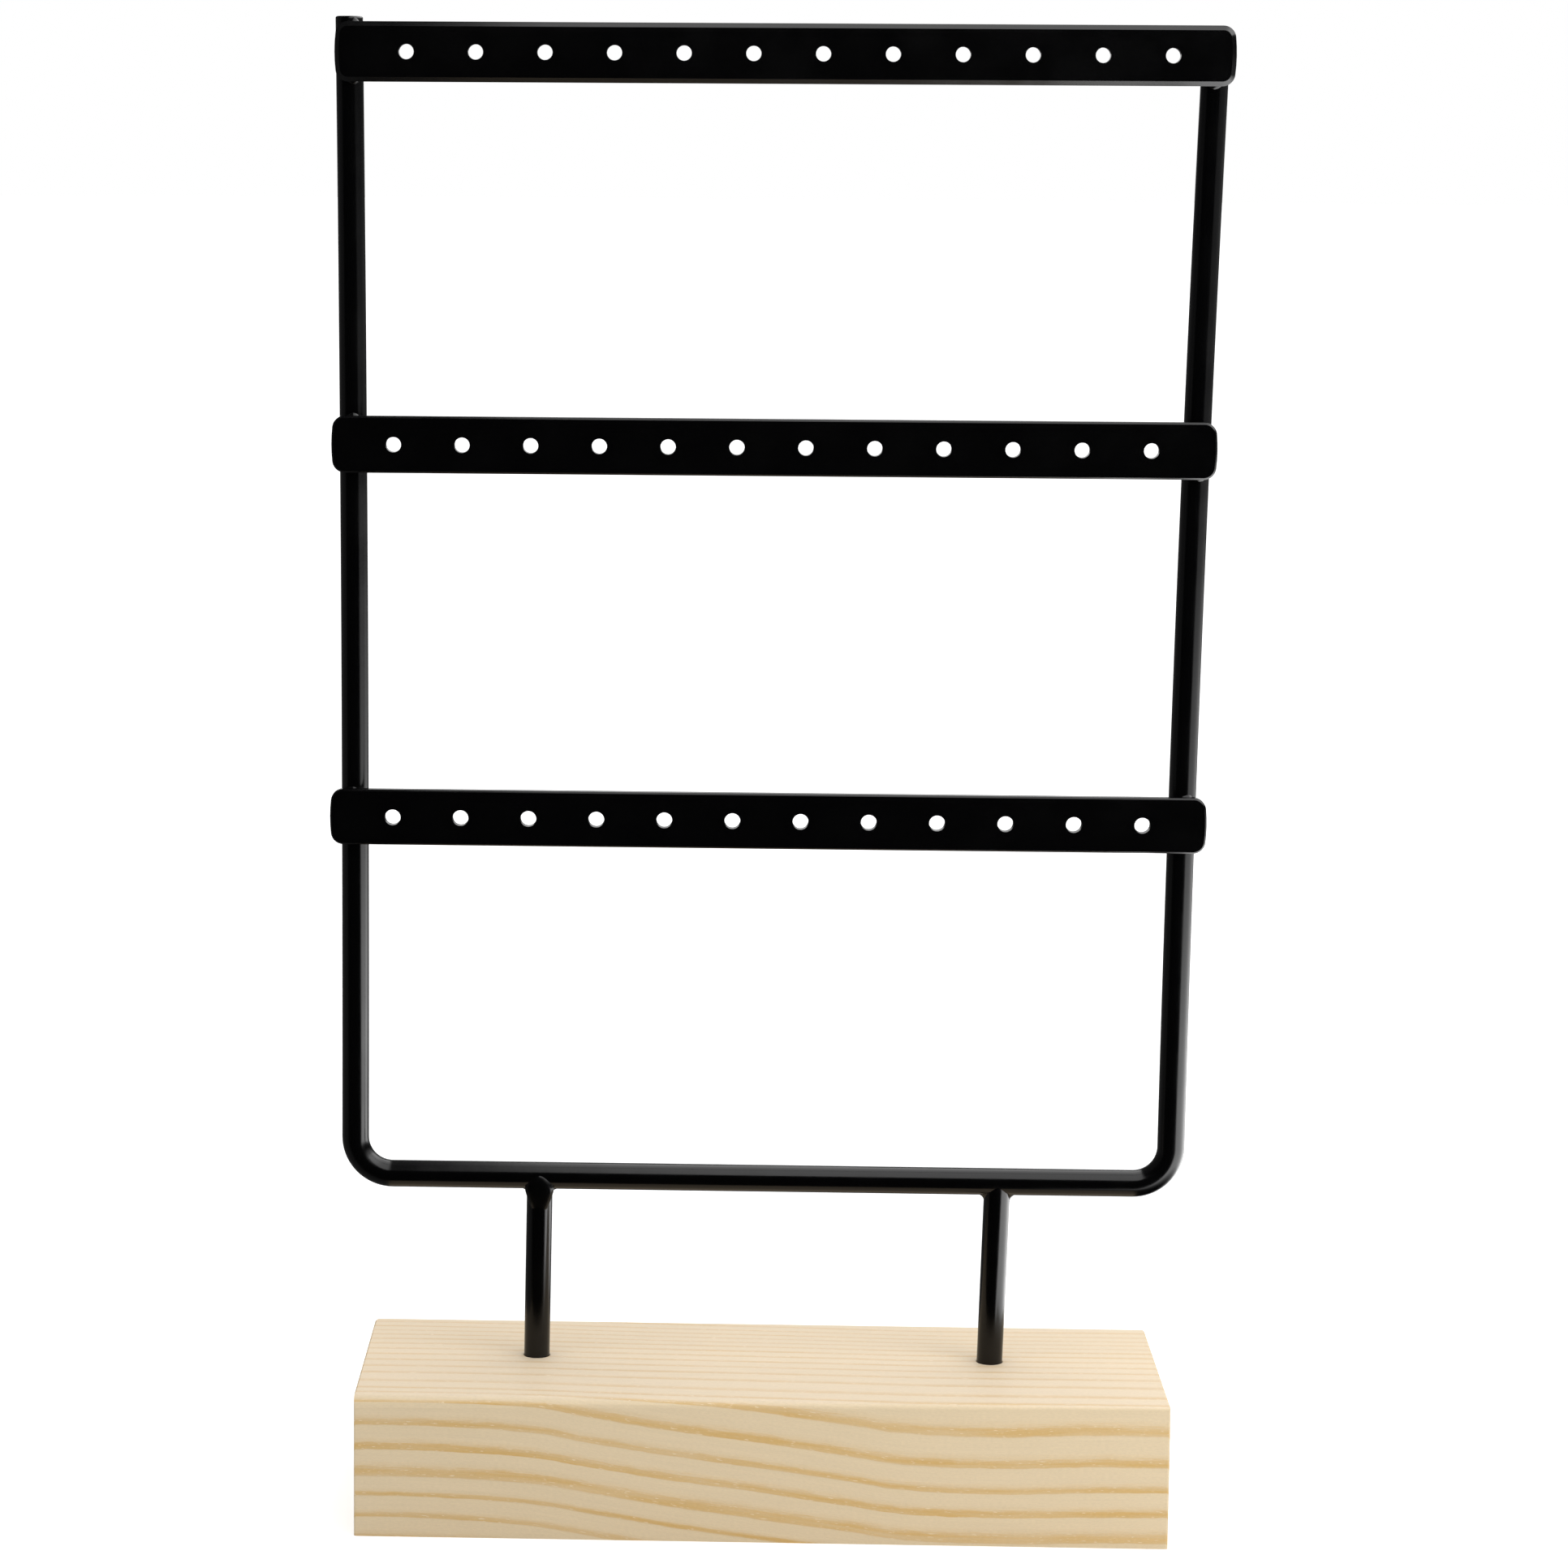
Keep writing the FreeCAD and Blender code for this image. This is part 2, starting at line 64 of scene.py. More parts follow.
# seen from above, the sides on which the gloss of the coating shows the table and the room bright
TO_THE_BACK_RIGHT = (0.743, 0.669, 0.0)
TO_THE_RIGHT = (0.985, -0.174, 0.0)
TO_THE_BACK_LEFT = (-0.5, 0.866, 0.0)


def colour_property(name, default, description):
    """A colour that the sidebar shows as a swatch."""
    return FloatVectorProperty(name=name, default=default, description=description, subtype="COLOR",
                               min=0, max=1)


def length_property(name, default, description):
    """A length in metres."""
    return FloatProperty(name=name, default=default, description=description, unit="LENGTH", precision=5)


class StandShape(bpy.types.PropertyGroup):
    """Sizes of the pieces that are shaped anew over the CAD model."""

    wire_diameter: length_property("Wire diameter", 5.0 * MM, "Thickness of the bent wire")
    frame_width: length_property("Frame width", 151.0 * MM, "Between the arms' centre lines at the bottom")
    frame_shift: length_property("Frame shift", -0.2 * MM, "How far the frame's middle lies to the right")
    frame_setback: length_property("Frame setback", 2.4 * MM,
                                   "How far the wire lies behind the block's middle")
    foot_height: length_property("Foot height", 61.0 * MM, "Height of the bottom wire's centre line")
    bend_radius: length_property("Bend radius", 7.0 * MM, "Radius of the centre line in the two bends")
    left_splay: FloatProperty(name="Left splay", default=math.radians(0.25), subtype="ANGLE",
                              description="Outward lean of the left arm")
    right_splay: FloatProperty(name="Right splay", default=math.radians(0.95), subtype="ANGLE",
                               description="Outward lean of the right arm")
    left_bow: length_property("Left bow", 0.38 * MM, "How far the left arm bows inwards half way up")
    right_bow: length_property("Right bow", 0.7 * MM, "How far the right arm bows inwards half way up")
    left_top: length_property("Left arm top", 275.0 * MM, "Height of the left arm's cut end")
    right_top: length_property("Right arm top", 273.6 * MM, "Height of the right arm's cut end")
    tip_round: length_property("Arm end round", 0.4 * MM, "Coated edge of the arms' cut ends")
    strip_round: length_property("Strip edge round", 0.22 * MM, "Softening of every edge of a strip")
    hole_ratios: FloatVectorProperty(name="Coated holes", default=(0.91, 0.93, 0.97), min=0.5, max=1,
                                     description="Width of a strip's coated holes against the punched ones")
    block_round: length_property("Block edge round", 0.12 * MM, "Softening of the block's sharp edges")
    weld_ripple: length_property("Weld ripple", 0.12 * MM, "Unevenness of the weld beads")


class StandFinish(bpy.types.PropertyGroup):
    """Colours and gloss of the stand."""

    early: colour_property("Earlywood", (0.80, 0.65, 0.455), "Pale wood between the rings")
    late: colour_property("Latewood", (0.70, 0.46, 0.185), "Dark wood at the end of each ring")
    coating: colour_property("Black coating", (0.0011, 0.0011, 0.0013), "Colour of the coating")
    coating_roughness: FloatProperty(name="Coating roughness", default=0.2, min=0, max=1, subtype="FACTOR",
                                     description="Sheen of the coating, from gloss to matt")
    wood_roughness: FloatProperty(name="Wood roughness", default=0.55, min=0, max=1, subtype="FACTOR",
                                  description="Sheen of the sanded pine")
    wave_drop: length_property("Grain wave", 11.2 * MM,
                               "How far the grain sinks from left to right on the front")


class StandStudio(bpy.types.PropertyGroup):
    """The camera, the light and the floor."""

    lens: FloatProperty(name="Lens", default=98.03, description="Focal length in millimetres", subtype="NONE")
    shift: FloatVectorProperty(name="Lens shift", default=(0.1302, -0.0756), size=2, subtype="NONE",
                               description="Where the view's centre lies in the frame")
    place: FloatVectorProperty(name="Camera place", default=(-0.009063, -0.775895, 0.258212), size=3,
                               subtype="TRANSLATION", unit="LENGTH", description="Where the camera stands")
    turn: FloatVectorProperty(name="Camera turn", size=3, subtype="EULER",
                              default=[math.radians(a) for a in (7.398, -1.874, -0.334)],
                              description="Tilt down, turn to the left and roll")
    sky: FloatProperty(name="Room light", default=0.38, min=0,
                       description="Soft light from all round, stronger from the back")
    key: FloatProperty(name="Key light", default=0.3, min=0, unit="POWER",
                       description="Soft lamp at the front right")
    overhead: FloatProperty(name="Overhead light", default=4.5, min=0, unit="POWER",
                            description="Wide soft lamp above the stand")
    gleam: FloatProperty(name="Gleam", default=6.0, min=0,
                         description="How bright the table at the right shows in gloss")
    floor: colour_property("Floor", (0.82, 0.82, 0.82), "Colour of the floor")


# Node helpers

class Nodes:
    """A short way to lay out and join shader nodes in one tree."""

    def __init__(self, tree):
        self.tree = tree
        self.column = 0

    def add(self, kind, links=None, **settings):
        """Adds a node, sets its properties and fills its inputs with values or links."""
        node = self.tree.nodes.new(kind)
        node.location = (self.column * 180, -(self.column % 7) * 160)
        self.column += 1
        for name, setting in settings.items():
            setattr(node, name, setting)
        for socket, source in (links or {}).items():
            self.fill(node.inputs[socket], source)
        return node

    def fill(self, socket, source):
        """Links a socket to another node's output, or sets its value."""
        if isinstance(source, bpy.types.NodeSocket):
            self.tree.links.new(source, socket)
        else:
            socket.default_value = source

    def math(self, operation, *sources, clamp=False):
        """A Math node over the given values or sockets."""
        node = self.add("ShaderNodeMath", dict(enumerate(sources)), operation=operation, use_clamp=clamp)
        return node.outputs[0]

    def vector_math(self, operation, *sources):
        """A Vector Math node that gives a vector."""
        node = self.add("ShaderNodeVectorMath", dict(enumerate(sources)), operation=operation)
        return node.outputs["Value" if operation in ("LENGTH", "DOT_PRODUCT") else "Vector"]

    def remap(self, source, low, high, to_low=0.0, to_high=1.0, smooth=True):
        """Maps a range to another one, clamped, with soft or straight ends."""
        kind = "SMOOTHSTEP" if smooth else "LINEAR"
        node = self.add("ShaderNodeMapRange", {0: source, 1: low, 2: high, 3: to_low, 4: to_high},
                        interpolation_type=kind)
        return node.outputs[0]

    def grain_noise(self, vector, scale, detail=2.0, roughness=0.5, **settings):
        """Noise between 0 and 1 on a vector."""
        node = self.add("ShaderNodeTexNoise", {"Vector": vector, "Scale": scale, "Detail": detail,
                                               "Roughness": roughness}, **settings)
        return node.outputs[0]

    def mix_colour(self, factor, first, second, blend="MIX"):
        """A mix of two colours."""
        node = self.add("ShaderNodeMix", data_type="RGBA", blend_type=blend)
        self.fill(node.inputs[0], factor)
        self.fill(node.inputs[6], first)
        self.fill(node.inputs[7], second)
        return node.outputs[2]

    def curve(self, source, points):
        """A Float Curve through the given points."""
        node = self.add("ShaderNodeFloatCurve", {"Value": source})
        track = node.mapping.curves[0]
        while len(track.points) < len(points):
            track.points.new(0.5, 0.5)
        for point, place in zip(track.points, points):
            point.location = place
        node.mapping.update()
        return node.outputs[0]

    def ramp(self, source, stops):
        """A grey Color Ramp as a value."""
        node = self.add("ShaderNodeValToRGB", {"Fac": source})
        elements = node.color_ramp.elements
        while len(elements) < len(stops):
            elements.new(0.5)
        for element, (place, tone) in zip(elements, stops):
            element.position = place
            element.color = (tone, tone, tone, 1)
        return node.outputs[0]


def new_group(name, inputs, outputs):
    """An empty shader node group with named sockets."""
    tree = bpy.data.node_groups.new(name, "ShaderNodeTree")
    for kind, sockets in (("INPUT", inputs), ("OUTPUT", outputs)):
        for socket, (socket_type, default) in sockets.items():
            item = tree.interface.new_socket(name=socket, in_out=kind, socket_type=f"NodeSocket{socket_type}")
            if default is not None:
                item.default_value = default
    nodes = Nodes(tree)
    return tree, nodes, nodes.add("NodeGroupInput"), nodes.add("NodeGroupOutput")


def use_group(nodes, tree, **sources):
    """Places a node group in a material with its own values; an underscore stands for a space."""
    node = nodes.add("ShaderNodeGroup", node_tree=tree)
    for name, source in sources.items():
        nodes.fill(node.inputs[name.replace("_", " ")], source)
    return node


def growth_ring_group():
    """Rings of a log whose heart lies behind and above the block, with the grain sinking along the front."""
    tree, n, inside, outside = new_group(
        "Growth rings",
        {"Place": ("Vector", None), "Wave": ("Float", 11.2)},
        {"Latewood": ("Float", None), "Ring tone": ("Float", None), "Fibre place": ("Vector", None)})
    # half the length that the wave runs over and the place of the log's heart, in millimetres
    half_span, heart_back, heart_height = 75.0, 70.7, 68.7
    ring_count, first_ring = 22.0, 0.19
    place = n.vector_math("MULTIPLY", inside.outputs["Place"], PER_METRE)
    split = n.add("ShaderNodeSeparateXYZ", {0: place})
    x, y, z = split.outputs
    along = n.math("DIVIDE", n.math("ADD", x, half_span), 2 * half_span)
    wave = n.curve(along, [(0, 0), (0.1, 0.0), (0.2, 0.07), (0.3, 0.27), (0.4, 0.48), (0.5, 0.64),
                           (0.6, 0.81), (0.7, 0.98), (0.78, 1.0), (0.88, 0.96), (1, 0.94)])
    depth = n.remap(y, -25.0, -6.0, 1.0, 0.45)
    sink = n.math("MULTIPLY", n.math("MULTIPLY", wave, depth), inside.outputs["Wave"])
    slow = n.grain_noise(n.vector_math("MULTIPLY", place, (0.022, 0.06, 0.06)), 1.0, 1.0)
    sway = n.math("MULTIPLY", n.math("SUBTRACT", slow, 0.5), 1.2)
    level = n.math("ADD", n.math("ADD", z, sink), sway)
    heart = n.add("ShaderNodeCombineXYZ", {1: n.math("SUBTRACT", y, heart_back),
                                           2: n.math("SUBTRACT", level, heart_height)})
    radius = n.vector_math("LENGTH", heart.outputs[0])
    age = n.curve(n.remap(radius, 60.0, 120.0, smooth=False),
                  [(0.0, 0.0), (0.063, 0.077), (0.255, 0.3045), (0.522, 0.532), (0.598, 0.577),
                   (0.665, 0.623), (0.705, 0.668), (0.743, 0.7136), (0.777, 0.759), (0.812, 0.8045),
                   (0.853, 0.85), (0.888, 0.8955), (0.925, 0.941), (0.967, 0.9864), (1.0, 1.0)])
    ring = n.math("MULTIPLY_ADD", age, ring_count, first_ring)
    wobble = n.math("MULTIPLY", n.math("SUBTRACT", n.grain_noise(place, 0.35, 1.0), 0.5), 0.06)
    ring = n.math("ADD", ring, wobble)
    phase = n.math("FRACT", ring)
    whole = n.math("FLOOR", ring)
    number = n.add("ShaderNodeTexWhiteNoise", {"W": whole}, noise_dimensions="1D").outputs[0]
    fibre = n.add("ShaderNodeCombineXYZ", {0: x, 1: y, 2: level}).outputs[0]
    # some bands are broad and others thin, and their upper edges are feathery
    broad = n.curve(n.math("DIVIDE", whole, ring_count),
                    [(0, 0.5), (0.14, 0.3), (0.27, 0.6), (0.41, 0.35), (0.55, 0.5), (0.64, 0.55), (0.68, 0.6),
                     (0.727, 0.5), (0.773, 0.6), (0.818, 1.0), (0.864, 0.3), (0.909, 0.3), (1, 0.5)])
    width = n.math("MULTIPLY_ADD", broad, 1.3, -0.6)
    feather = n.grain_noise(n.vector_math("MULTIPLY", fibre, (0.2, 3.2, 3.2)), 1.0, 3.0, 0.65)
    feather = n.math("MULTIPLY", n.math("SUBTRACT", feather, 0.5), 1.4)
    width = n.math("MULTIPLY", n.math("ADD", width, feather), n.math("SUBTRACT", 1.0, phase))
    shifted = n.math("MULTIPLY_ADD", width, phase, phase)
    late = n.ramp(shifted, [(0.0, 0.6), (0.035, 0.08), (0.08, 0.0), (0.58, 0.0), (0.72, 0.22), (0.81, 0.78),
                            (0.88, 1.0), (1.0, 0.9)])
    # the band that grazes the front top edge dies out towards the left
    edge = n.math("MULTIPLY", n.remap(z, 25.0, 26.0), n.remap(y, -22.5, -23.8))
    faded = n.math("MULTIPLY", edge, n.remap(x, -44.0, -56.0, 0.0, 0.85))
    cloud = n.grain_noise(n.vector_math("MULTIPLY", fibre, (0.05, 0.4, 0.4)), 1.0, 2.0)
    late = n.math("MULTIPLY", late, n.math("SUBTRACT", n.remap(cloud, 0.3, 0.7, 0.76, 1.08), faded),
                  clamp=True)
    n.fill(outside.inputs["Latewood"], late)
    n.fill(outside.inputs["Ring tone"], number)
    n.fill(outside.inputs["Fibre place"], fibre)
    return tree


def fibre_group():
    """Fine streaks, pale dashes and specks that run along the grain."""
    tree, n, inside, outside = new_group(
        "Wood fibres",
        {"Fibre place": ("Vector", None), "Latewood": ("Float", 0.0)},
        {"Streaks": ("Float", None), "Dashes": ("Float", None), "Specks": ("Float", None)})
    place = inside.outputs["Fibre place"]
    streaks = n.grain_noise(n.vector_math("MULTIPLY", place, (0.05, 1.7, 1.7)), 1.0, 3.0, 0.6)
    dashes = n.grain_noise(n.vector_math("MULTIPLY", place, (0.6, 4.6, 4.6)), 1.0, 1.0)
    dashes = n.math("MULTIPLY", n.remap(dashes, 0.64, 0.73), n.remap(inside.outputs["Latewood"], 0.3, 0.7))
    specks = n.grain_noise(n.vector_math("MULTIPLY", place, (1.3, 4.2, 4.2)), 1.0, 3.0, 0.6)
    n.fill(outside.inputs["Streaks"], streaks)
    n.fill(outside.inputs["Dashes"], dashes)
    n.fill(outside.inputs["Specks"], specks)
    return tree


def coat_group():
    """The faint orange peel, flow and dust of a sprayed and baked coat."""
    tree, n, inside, outside = new_group(
        "Coat surface",
        {"Place": ("Vector", None), "Peel size": ("Float", 1.4), "Flow size": ("Float", 9.0)},
        {"Height": ("Float", None), "Patch": ("Float", None), "Dust": ("Float", None)})
    place = n.vector_math("MULTIPLY", inside.outputs["Place"], PER_METRE)
    peel = n.grain_noise(place, n.math("DIVIDE", 1.0, inside.outputs["Peel size"]), 1.5)
    flow = n.grain_noise(place, n.math("DIVIDE", 1.0, inside.outputs["Flow size"]), 2.0)
    dust = n.remap(n.grain_noise(place, 2.2, 1.0), 0.74, 0.8)
    n.fill(outside.inputs["Height"], n.math("MULTIPLY_ADD", flow, 1.6, peel))
    n.fill(outside.inputs["Patch"], flow)
    n.fill(outside.inputs["Dust"], dust)
    return tree


def new_material(name):
    """An empty node material with its output."""
    material = bpy.data.materials.new(name)
    material.use_nodes = True
    material.node_tree.nodes.clear()
    nodes = Nodes(material.node_tree)
    return material, nodes, nodes.add("ShaderNodeOutputMaterial")


def pine_material(finish):
    """Sanded pine: soft bands, fine straight lines on the planed top and rings on the sawn ends."""
    material, n, out = new_material("Sanded pine")
    place = n.add("ShaderNodeTexCoord").outputs["Object"]
    rings = use_group(n, growth_ring_group(), Place=place, Wave=finish.wave_drop / MM)
    late = rings.outputs["Latewood"]
    fibres = use_group(n, fibre_group(), Fibre_place=rings.outputs["Fibre place"], Latewood=late)
    facing = n.add("ShaderNodeSeparateXYZ", {0: n.add("ShaderNodeTexCoord").outputs["Normal"]})
    top = n.remap(facing.outputs[2], 0.6, 0.97)
    end = n.remap(n.math("ABSOLUTE", facing.outputs[0]), 0.6, 0.95)
    strength = n.math("MULTIPLY_ADD", top, -0.4, 1.02)
    strength = n.math("MULTIPLY", strength, n.remap(rings.outputs["Ring tone"], 0.0, 1.0, 0.84, 1.0))
    amount = n.math("MULTIPLY", late, strength)
    amount = n.math("MULTIPLY", amount, n.remap(fibres.outputs["Streaks"], 0.25, 0.75, 0.7, 1.15))
    amount = n.math("SUBTRACT", amount, n.math("MULTIPLY", fibres.outputs["Dashes"], 0.85), clamp=True)
    colour = n.mix_colour(amount, (*finish.early, 1), (*finish.late, 1))
    streak_tone = n.remap(fibres.outputs["Streaks"], 0.2, 0.8, 0.965, 1.03, smooth=False)
    speck_tone = n.remap(fibres.outputs["Specks"], 0.2, 0.8, 0.945, 1.055, smooth=False)
    speck_tone = n.math("MULTIPLY_ADD", fibres.outputs["Dashes"], 0.07, speck_tone)
    tone = n.math("MULTIPLY", streak_tone, speck_tone)
    tone = n.math("MULTIPLY", tone, n.math("MULTIPLY_ADD", end, -0.14, 1.0))
    # painted light: the colour is made a little bluer on the top and a little warmer on the front, to match
    # how the light falls on the two faces
    green, blue = (n.math("MULTIPLY", tone, n.math("MULTIPLY_ADD", top, painted_top_tint, front))
                   for painted_top_tint, front in ((0.02, 1.0), (0.115, 0.955)))
    toned = n.add("ShaderNodeCombineXYZ", {0: tone, 1: green, 2: blue}).outputs[0]
    colour = n.mix_colour(1.0, colour, toned, "MULTIPLY")
    height = n.math("MULTIPLY_ADD", fibres.outputs["Specks"], 0.5, n.math("MULTIPLY", late, 0.8))
    height = n.math("ADD", height, fibres.outputs["Streaks"])
    bump = n.add("ShaderNodeBump", {"Height": height, "Strength": 0.35, "Distance": 0.06 * MM})
    rough = n.math("MULTIPLY_ADD", late, -0.1, finish.wood_roughness)
    shader = n.add("ShaderNodeBsdfPrincipled",
                   {"Base Color": colour, "Roughness": rough, "Normal": bump.outputs[0]})
    shader.inputs["Specular IOR Level"].default_value = 0.22
    n.fill(out.inputs["Surface"], shader.outputs[0])
    return material


def black_coat_material(name, finish, surface, peel_size, peel_depth, roughness_change=0.0):
    """Satin black coating over metal."""
    material, n, out = new_material(name)
    place = n.add("ShaderNodeTexCoord").outputs["Object"]
    coat = use_group(n, surface, Place=place, Peel_size=peel_size)
    dust_gain = 4
    grey = tuple(dust_gain * part for part in finish.coating)
    colour = n.mix_colour(n.math("MULTIPLY", coat.outputs["Dust"], 0.5), (*finish.coating, 1), (*grey, 1))
    rough = n.remap(coat.outputs["Patch"], 0.3, 0.7, -0.03, 0.04)
    rough = n.math("ADD", rough, finish.coating_roughness + roughness_change)
    bump = n.add("ShaderNodeBump",
                 {"Height": coat.outputs["Height"], "Strength": 0.25, "Distance": peel_depth})
    shader = n.add("ShaderNodeBsdfPrincipled",
                   {"Base Color": colour, "Roughness": rough, "Normal": bump.outputs[0]})
    shader.inputs["Specular IOR Level"].default_value = 0.3
    n.fill(out.inputs["Surface"], shader.outputs[0])
    return material


# Mesh helpers

def finish_piece(bm, name, material, nodes, sharp_angle=35.0):
    """Turns a bmesh into a piece of the object that stands for its CAD nodes."""
    limit = math.radians(sharp_angle)
    for face in bm.faces:
        face.smooth = True
    for edge in bm.edges:
        edge.smooth = edge.is_manifold and edge.calc_face_angle(0.0) < limit
    mesh = bpy.data.meshes.new(name)
    bm.to_mesh(mesh)
    bm.free()
    piece = bpy.data.objects.new(name, mesh)
    bpy.context.scene.collection.objects.link(piece)
    mesh.materials.append(material)
    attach(piece, "root")
    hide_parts(*nodes)
    return piece


def merged_copy(node):
    """A bmesh with a CAD node's own shape, its loose triangles joined and its flat faces made whole."""
    bm = bmesh.new()
    bm.from_mesh(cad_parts[node].data)
    bmesh.ops.remove_doubles(bm, verts=bm.verts, dist=CAD_MERGE)
    bmesh.ops.dissolve_limit(bm, angle_limit=math.radians(0.5), verts=bm.verts, edges=bm.edges)
    return bm


def soften(piece, width, segments, angle=30.0):
    """Rounds a piece's edges and keeps its flat faces flat in the shading."""
    bevel = piece.modifiers.new("Soft edges", "BEVEL")
    bevel.width = width
    bevel.segments = segments
    bevel.limit_method = "ANGLE"
    bevel.angle_limit = math.radians(angle)
    bevel.use_clamp_overlap = True
    normals = piece.modifiers.new("Flat faces", "WEIGHTED_NORMAL")
    normals.keep_sharp = True
    normals.weight = 80


def coat(key):
    """One of the black coats, made on first use."""
    finish = bpy.context.scene.stand_finish
    recipes = {"strip": ("Coated strip", 1.6, 0.02 * MM, 0.0),
               "wire": ("Coated wire", 1.3, 0.015 * MM, -0.02),
               "weld": ("Coated weld", 0.8, 0.05 * MM, 0.03)}
    name, peel_size, peel_depth, change = recipes[key]
    if name in bpy.data.materials:
        return bpy.data.materials[name]
    surface = bpy.data.node_groups.get("Coat surface") or coat_group()
    return black_coat_material(name, finish, surface, peel_size, peel_depth, change)


# Pieces

class StandBlock(bpy.types.Operator):
    """Shapes the pine block and gives it its grain"""

    bl_idname = "earring_stand.block"
    bl_label = "Pine block"

    def execute(self, context):
        shape, finish = context.scene.stand_shape, context.scene.stand_finish
        bm = merged_copy("base_block")
        piece = finish_piece(bm, "pine_block", pine_material(finish), ["base_block"])
        soften(piece, shape.block_round, segments=2)
        return {"FINISHED"}


class StandPosts(bpy.types.Operator):
    """Smooths and coats the two short posts"""

    bl_idname = "earring_stand.posts"
    bl_label = "Posts"

    def execute(self, context):
        for side in SIDES:
            bm = merged_copy(f"{side}_post")
            finish_piece(bm, f"post_{side}", coat("wire"), [f"{side}_post"])
        return {"FINISHED"}


def extrude_ring(bm, ring, move):
    """Extrudes a ring of edges by a vector and gives the new ring."""
    made = bmesh.ops.extrude_edge_only(bm, edges=ring)["geom"]
    fresh = [part for part in made if isinstance(part, bmesh.types.BMVert)]
    bmesh.ops.translate(bm, vec=move, verts=fresh)
    return [part for part in made
            if isinstance(part, bmesh.types.BMEdge) and all(vert in fresh for vert in part.verts)]


def arm_place(shape, sign, splay, bow, top, height):
    """Centre of an arm at a height: it leans outwards and bows a little inwards half way up."""
    # this share of the bow lies inwards at half height, and the rest outwards at both ends
    inward_share = 0.3
    rise, whole = height - shape.foot_height, top - shape.foot_height
    bowed = bow * ((2 * rise / whole - 1) ** 2 - inward_share)
    reach = shape.frame_width / 2 + math.tan(splay) * rise + bowed
    return Vector((shape.frame_shift + sign * reach, shape.frame_setback, height))


def bend_half(bm, ring, shape, sign, splay, bow, top):
    """Half of the U: along the bottom, round the bend, up the arm and over its cut end."""
    foot, bend = shape.foot_height, shape.bend_radius
    # how far the bowed arm leans at its foot
    lean = splay - 4 * bow / (top - foot)
    tangent = bend * math.tan(math.radians(45) - lean / 2)
    middle = Vector((shape.frame_shift, shape.frame_setback, foot))
    bend_start = arm_place(shape, sign, splay, bow, top, foot) - Vector((sign * tangent, 0, 0))
    centre = bend_start + Vector((0, 0, bend))
    bend_steps, arm_steps, tip_steps = 18, 24, 4
    ring = extrude_ring(bm, ring, bend_start - middle)
    verts = list({vert for edge in ring for vert in edge.verts})
    turn = math.radians(90) - lean
    spun = bmesh.ops.spin(bm, geom=verts + ring, cent=centre, axis=(0, -sign, 0), angle=turn,
                          steps=bend_steps)
    ring = [part for part in spun["geom_last"] if isinstance(part, bmesh.types.BMEdge)]
    tip = centre + Matrix.Rotation(turn, 3, (0, -sign, 0)) @ Vector((0, 0, -bend))
    start = tip.z
    for step in range(1, arm_steps + 1):
        height = start + (top - shape.tip_round - start) * step / arm_steps
        after = arm_place(shape, sign, splay, bow, top, height)
        ring = extrude_ring(bm, ring, after - tip)
        tip = after
    up = Vector((sign * math.sin(splay), 0, math.cos(splay)))
    radius = shape.wire_diameter / 2
    # the coat rounds the cut end in a few short steps
    for step in range(1, tip_steps + 1):
        before, after = (math.radians(90 * s / tip_steps) for s in (step - 1, step))
        rise = shape.tip_round * (math.sin(after) - math.sin(before))
        size = [radius - shape.tip_round * (1 - math.cos(angle)) for angle in (before, after)]
        ring = extrude_ring(bm, ring, up * rise)
        tip = tip + up * rise
        verts = list({vert for edge in ring for vert in edge.verts})
        bmesh.ops.scale(bm, vec=(size[1] / size[0],) * 3, space=Matrix.Translation(-tip), verts=verts)
    bmesh.ops.holes_fill(bm, edges=ring, sides=0)


class StandWire(bpy.types.Operator):
    """Bends the U of wire"""

    bl_idname = "earring_stand.wire"
    bl_label = "Bent wire"

    def execute(self, context):
        shape = context.scene.stand_shape
        bm = bmesh.new()
        start = Matrix.Translation((shape.frame_shift, shape.frame_setback, shape.foot_height))
        start = start @ Matrix.Rotation(math.radians(90), 4, "Y")
        bmesh.ops.create_circle(bm, cap_ends=False, segments=40, radius=shape.wire_diameter / 2, matrix=start)
        first = list(bm.edges)
        bend_half(bm, first, shape, 1, shape.right_splay, shape.right_bow, shape.right_top)
        bend_half(bm, first, shape, -1, shape.left_splay, shape.left_bow, shape.left_top)
        bmesh.ops.remove_doubles(bm, verts=bm.verts, dist=MERGE)
        bmesh.ops.recalc_face_normals(bm, faces=bm.faces)
        finish_piece(bm, "bent_wire", coat("wire"), ["frame_wire"], sharp_angle=60)
        return {"FINISHED"}


def tighten_holes(bm, ratio):
    """Draws the punched holes in a little, as the coat does."""
    end_margin, half_band, least_gap = 4 * MM, 2 * MM, 5 * MM
    heights = [vert.co.z for vert in bm.verts]
    reaches = [vert.co.x for vert in bm.verts]
    middle = (min(heights) + max(heights)) / 2
    low, high = min(reaches) + end_margin, max(reaches) - end_margin
    rims = [vert for vert in bm.verts if abs(vert.co.z - middle) < half_band and low < vert.co.x < high]
    holes = []
    for vert in sorted(rims, key=lambda vert: vert.co.x):
        if not holes or vert.co.x - holes[-1][0].co.x > least_gap:
            holes.append([])
        holes[-1].append(vert)
    for hole in holes:
        centre = sum((vert.co for vert in hole), Vector()) / len(hole)
        bmesh.ops.scale(bm, vec=(ratio, 1, ratio), space=Matrix.Translation(-centre), verts=hole)


